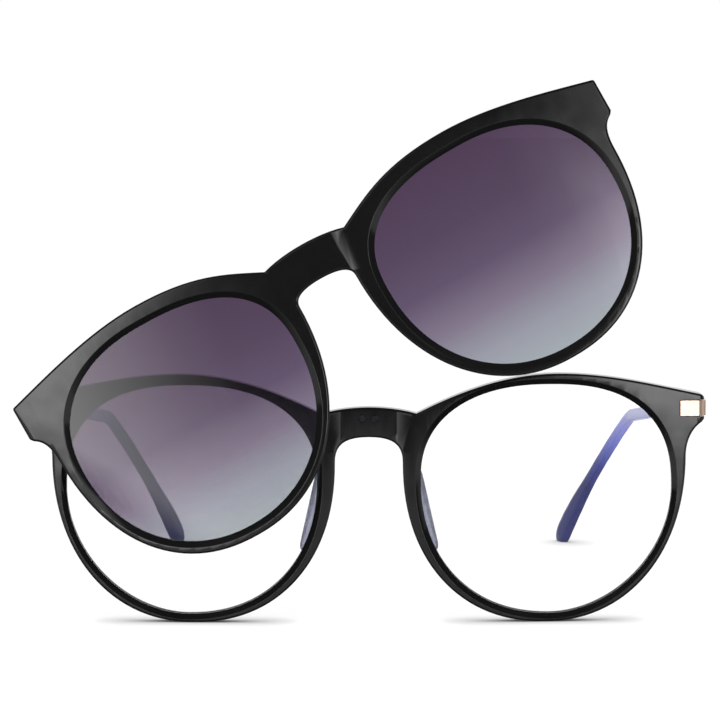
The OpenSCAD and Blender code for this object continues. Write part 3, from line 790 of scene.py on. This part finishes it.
# Points down the middle of the sleeve, straight along the arm and then bent down to the table
def tipPath(line):
    armWay = heading(line["lean"], line["slope"])
    tipWay = heading(line["tipLean"], line["tipSlope"])
    bend = line["start"] + line["toBend"] * armWay
    end = bend + tipWay * (bend.z - line["foot"]) / -tipWay.z
    straight = line["toBend"] - line["bendRun"] - line["bare"]
    count = tipSizes["straightRings"]
    path = [line["start"] + (line["bare"] + straight * i / count) * armWay for i in range(count)]
    path += bezier(
        bend - line["bendRun"] * armWay, bend - (line["bendRun"] - line["bendEase"]) * armWay,
        end - line["hookRun"] * heading(line["tipLean"], line["hook"]), end, tipSizes["bentRings"]
    )
    return path + [end], bend


# Half the sleeve's thickness and height at one of its rings
def sleeveHalves(i):
    t = tipSizes
    pastStraight = i - t["straightRings"]
    if pastStraight < 0:
        share = t["straightShare"] * i / t["straightRings"]
    else:
        share = t["straightShare"] + (1 - t["straightShare"]) * pastStraight / t["bentRings"]
    swellShare = (share - t["swellFrom"]) / (t["swellTo"] - t["swellFrom"])
    swell = 0.5 - 0.5 * cos(pi * min(1, max(0, swellShare)))
    roundShare = max(0, share - t["roundFrom"]) / (1 - t["roundFrom"])
    taper = sqrt(max(t["blunt"], 1 - roundShare ** 2))
    thickness = t["thickness"] + (t["fullThickness"] - t["thickness"]) * swell
    height = t["height"] + (t["fullHeight"] - t["height"]) * swell
    return thickness / 2 * taper, height / 2 * taper


# A sine or cosine for a section that is squarer than an ellipse
def squared(value):
    return (1 if value > 0 else -1) * abs(value) ** (2 / tipSizes["square"])


# Plastic sleeve, swept along the temple's line and swelling past the bend, flat where it stands
def makeTip(name, side):
    path, bend = tipPath(templeLine)
    turns = [2 * pi * j / tipSizes["around"] for j in range(tipSizes["around"])]
    rings = []
    for i, at in enumerate(path):
        along = (path[min(i + 1, len(path) - 1)] - path[max(i - 1, 0)]).normalized()
        across = along.cross(Vector((0, 0, 1))).normalized()
        up = across.cross(along)
        halfThickness, halfHeight = sleeveHalves(i)
        ring = []
        for turn in turns:
            u, v = halfThickness * squared(cos(turn)), halfHeight * squared(sin(turn))
            spot = at + across * u + up * v
            ring.append((side * spot.x, spot.y, spot.z))
        rings.append(ring)
    piece = rolled(name, rings)
    openEdit(piece)
    bpy.ops.mesh.bisect(plane_co=(0, 0, 0), plane_no=(0, 0, 1), use_fill=True, clear_inner=True)
    closeEdit()
    smooth(piece, tipSizes["smoothAngle"])
    return piece, bend


for name, side in sides.items():
    tip, bend = makeTip("temple_sleeve_" + name, side)
    # On the left sleeve the earlier start of the violet is painted shade
    fadeX, fadeY = bend.x + violetFadeAndShade["out"], bend.y - violetFadeAndShade[name]
    endX, endY = violetFadeAndShade["end"]
    fadeStart = placeOf @ Vector((side * fadeX, fadeY, bend.z + violetFadeAndShade["up"]))
    fadeEnd = placeOf @ Vector((side * endX, endY, 0))
    sleeve = violetAcetate("violetAcetate_" + name, fadeStart, fadeEnd)
    settle(tip, "temple_tip_" + name, "temple_" + name, sleeve, placeOf)
print("temple sleeves made")

# Nose pads: their nodes' shape, made again in grains of a size in millimetres and smoothed

padSizes = {"grain": 0.28, "smoothing": 6, "softness": 0.5}
padPlastic = cloudyPlastic()
for name in sides:
    pad = openCopy("nose_pad_" + name, "soft_pad_" + name)
    closeEdit()
    useModifier(pad, "REMESH", mode="VOXEL", voxel_size=padSizes["grain"] * mm)
    useModifier(pad, "SMOOTH", iterations=padSizes["smoothing"], factor=padSizes["softness"])
    only(pad)
    bpy.ops.object.shade_smooth()
    settle(pad, "nose_pad_" + name, "front", padPlastic)
print("nose pads made")

# Metal pieces: each has its node's shape, with edges eased by its own width in millimetres

gold = roseGold()
steel = turnedSteel()
magnetBright = platedMagnet("nickelPlating", "#9a9aa0", "#c4c4ca")
magnetDark = platedMagnet("blackPlating", "#26262a", "#343439")
metalPieces = {
    "end_plate": (0.12, "rose_gold", gold, "front"),
    "front_hinge": (0.08, "rose_gold", gold, "front"),
    "plate_screw": (0.08, "steel", steel, "front"),
    "hinge_screw": (0.06, "steel", steel, "front"),
    "temple_hinge": (0.08, "rose_gold", gold, "temple"),
    "temple_arm": (0.22, "rose_gold", gold, "temple")
}
for node, (width, slot, metal, body) in metalPieces.items():
    for name in sides:
        piece = easedCopy(node + "_" + name, width)
        settle(piece, node + "_" + name, body if body == "front" else "temple_" + name, metal)
magnets = {
    "bridge_magnets": (0.08, "magnet_dark", magnetDark, "front"),
    "end_magnets": (0.08, "magnet_plated", magnetBright, "front"),
    "clip_bridge_magnets": (0.08, "magnet_plated", magnetBright, "clip_on"),
    "clip_end_magnets": (0.08, "magnet_plated", magnetBright, "clip_on")
}
for node, (width, slot, metal, body) in magnets.items():
    settle(easedCopy(node, width), node, body, metal)
print("metal pieces made")

# Floor, light and camera

# glow is the paper's own white for the camera and through the lenses, and share is how much of it
# there is over the paper that the lamps light. The last figure is how far from a piece a painted
# contact shadow darkens that glow, in millimetres. Gloss mirrors the world's studio instead
paleFloor = {
    "size": 6, "colour": "#f4f4f5", "share": 0.82, "glow": 1.1, "glowThrough": 1.13, "paintedContactShade": 7
}


# The larger of what two sockets or numbers give
def largerOf(tree, a, b):
    return addNode(tree, "ShaderNodeMath", {0: a, 1: b}, operation="MAXIMUM").outputs[0]


def timesOf(tree, a, b):
    return addNode(tree, "ShaderNodeMath", {0: a, 1: b}, operation="MULTIPLY").outputs[0]


def makeFloor():
    f = paleFloor
    bpy.ops.mesh.primitive_plane_add(size=f["size"])
    floor = bpy.context.object
    floor.name = "floor"
    floor.visible_glossy = False
    material = bpy.data.materials.new("matteStudioPaper")
    material.use_nodes = True
    tree = material.node_tree
    tree.nodes.clear()
    rays = addNode(tree, "ShaderNodeLightPath", {})
    seen, through = rays.outputs["Is Camera Ray"], rays.outputs["Is Transmission Ray"]
    glow = largerOf(tree, timesOf(tree, seen, f["glow"]), timesOf(tree, through, f["glowThrough"]))
    # Painted shadow: ambient occlusion darkens the paper's glow where a piece stands on it
    reach = f["paintedContactShade"] * mm
    paintedContactShade = addNode(tree, "ShaderNodeAmbientOcclusion", {"Distance": reach}, samples=8)
    glow = timesOf(tree, glow, paintedContactShade.outputs["AO"])
    share = timesOf(tree, largerOf(tree, seen, through), f["share"])
    paper = addNode(tree, "ShaderNodeBsdfDiffuse", {"Color": linear(f["colour"])})
    white = addNode(tree, "ShaderNodeEmission", {"Color": (1, 1, 1, 1), "Strength": glow})
    mix = addNode(tree, "ShaderNodeMixShader", {0: share, 1: paper.outputs[0], 2: white.outputs[0]})
    addNode(tree, "ShaderNodeOutputMaterial", {"Surface": mix.outputs[0]})
    floor.data.materials.append(material)


# What gloss mirrors of the studio. In front of the glasses it is a black room with two tall lit
# panels and a pale table, and behind them it is white. across goes from left to right and up from
# below, and each lists how far a ray looks that way, as a share of its length, and how bright it is
# there. The pairs are such shares too: upwards the panels begin over panelLow, dim to overPanel over
# panelTop and to pastPanel over panelEnd, and backwards the white begins over behind. fill lights
# all but gloss, and through is what shows through a lens
studioGlow = {
    "across": [
        (-0.52, 0.04), (-0.42, 4.4), (-0.24, 4.6), (-0.19, 2.4), (-0.155, 1.0), (-0.12, 0.2),
        (-0.08, 0.06), (0.12, 0.1), (0.148, 0.5), (0.182, 2.1), (0.22, 4.4), (0.42, 4.2),
        (0.5, 0.1), (0.85, 0.04), (0.95, 0.5)
    ],
    "up": [
        (-0.6, 0.03), (-0.4, 0.3), (-0.3, 0.6), (-0.14, 0.6), (-0.117, 0.45), (-0.108, 0.3),
        (-0.105, 0.15), (-0.098, 0.05)
    ],
    "panelLow": (-0.122, -0.107), "panelTop": (0.115, 0.132), "overPanel": 0.28,
    "panelEnd": (0.4, 0.55), "pastPanel": 0.02, "brightest": 4.6, "behind": (0.75, 0.95),
    "white": 1.0, "fill": 0.6, "through": 1.13
}


# A brightness that follows one way's share of a ray
def glowAlong(tree, way, stops, brightest):
    place = addNode(tree, "ShaderNodeMath", {0: way, 1: 0.5, 2: 0.5}, operation="MULTIPLY_ADD")
    levels = [(share / 2 + 0.5, level / brightest) for share, level in stops]
    return timesOf(tree, colourRamp(tree, place.outputs[0], levels), brightest)


def blendOf(tree, factor, a, b):
    return addNode(tree, "ShaderNodeMix", {"Factor": factor, "A": a, "B": b}).outputs[0]


# Goes from 0 to 1 between two ends
def shareBetween(tree, value, ends):
    inputs = {"Value": value, "From Min": ends[0], "From Max": ends[1]}
    return addNode(tree, "ShaderNodeMapRange", inputs).outputs["Result"]


def makeWorld():
    g = studioGlow
    world = bpy.data.worlds.new("studio")
    bpy.context.scene.world = world
    world.use_nodes = True
    tree = world.node_tree
    tree.nodes.clear()
    rays = addNode(tree, "ShaderNodeLightPath", {})
    way = addNode(tree, "ShaderNodeTexCoord", {}).outputs["Generated"]
    across, back, up = addNode(tree, "ShaderNodeSeparateXYZ", {"Vector": way}).outputs
    panels = glowAlong(tree, across, g["across"], g["brightest"])
    upright = blendOf(tree, shareBetween(tree, up, g["panelTop"]), g["white"], g["overPanel"])
    upright = timesOf(tree, upright, shareBetween(tree, up, g["panelLow"]))
    upright = blendOf(tree, shareBetween(tree, up, g["panelEnd"]), upright, g["pastPanel"])
    table = glowAlong(tree, up, g["up"], g["white"])
    room = largerOf(tree, timesOf(tree, panels, upright), table)
    mirrored = blendOf(tree, shareBetween(tree, back, g["behind"]), room, g["white"])
    glow = blendOf(tree, rays.outputs["Is Glossy Ray"], g["fill"], mirrored)
    glow = blendOf(tree, rays.outputs["Is Transmission Ray"], glow, g["through"])
    glow = blendOf(tree, rays.outputs["Is Camera Ray"], glow, g["white"])
    studio = addNode(tree, "ShaderNodeBackground", {"Color": (1, 1, 1, 1), "Strength": glow})
    addNode(tree, "ShaderNodeOutputWorld", {"Surface": studio.outputs[0]})


# Softboxes round the glasses: bearing from the front and rise in degrees, size in metres. Gloss
# mirrors the world's panels instead of these, so that no sharp edge crosses a lens
softboxes = {
    "left": {"bearing": -24, "rise": 12, "width": 0.5, "height": 1.0, "glow": 2.2},
    "right": {"bearing": 24, "rise": 12, "width": 0.5, "height": 1.0, "glow": 1.6},
    "overhead": {"bearing": 0, "rise": 70, "width": 0.9, "height": 0.6, "glow": 1.8}
}
# What they face and how far from it they stand, in metres
softboxStand = {"target": Vector((0, -0.05, 0.05)), "distance": 1.2}


def makeLights():
    for name, box in softboxes.items():
        bearing, rise = radians(box["bearing"]), radians(box["rise"])
        way = Vector((sin(bearing) * cos(rise), -cos(bearing) * cos(rise), sin(rise)))
        spot = softboxStand["target"] + softboxStand["distance"] * way
        bpy.ops.object.light_add(type="AREA", location=spot)
        lamp = bpy.context.object
        lamp.name = "softbox_" + name
        lamp.data.shape = "RECTANGLE"
        lamp.data.size = box["width"]
        lamp.data.size_y = box["height"]
        lamp.data.energy = box["glow"] * pi * (box["width"] * box["height"])
        lamp.rotation_euler = (-way).to_track_quat("-Z", "Y").to_euler()
        lamp.visible_glossy = False


# Camera: a long lens level with the glasses and a little above them. Its place is in the glasses'
# own millimetres and its turns are in degrees. sensor is in millimetres and nearest in metres
view = {
    "x": 2.03, "y": -800, "z": 128.35, "down": 5.2, "turn": 0.273, "roll": -0.179,
    "focalPixels": 3841.7, "framePixels": 720, "sensor": 36, "nearest": 0.01
}


def makeCamera():
    bpy.ops.object.camera_add(location=placeOf @ Vector((view["x"], view["y"], view["z"])))
    camera = bpy.context.object
    turn = (
        Matrix.Rotation(radians(view["turn"]), 3, "Z")
        @ Matrix.Rotation(radians(90 - view["down"]), 3, "X")
        @ Matrix.Rotation(radians(view["roll"]), 3, "Z")
    )
    camera.rotation_euler = turn.to_euler()
    camera.data.sensor_width = view["sensor"]
    camera.data.lens = view["focalPixels"] / view["framePixels"] * view["sensor"]
    camera.data.clip_start = view["nearest"]
    bpy.context.scene.camera = camera


makeFloor()
makeWorld()
makeLights()
makeCamera()
bpy.context.scene.view_settings.view_transform = "Standard"
print("studio made")
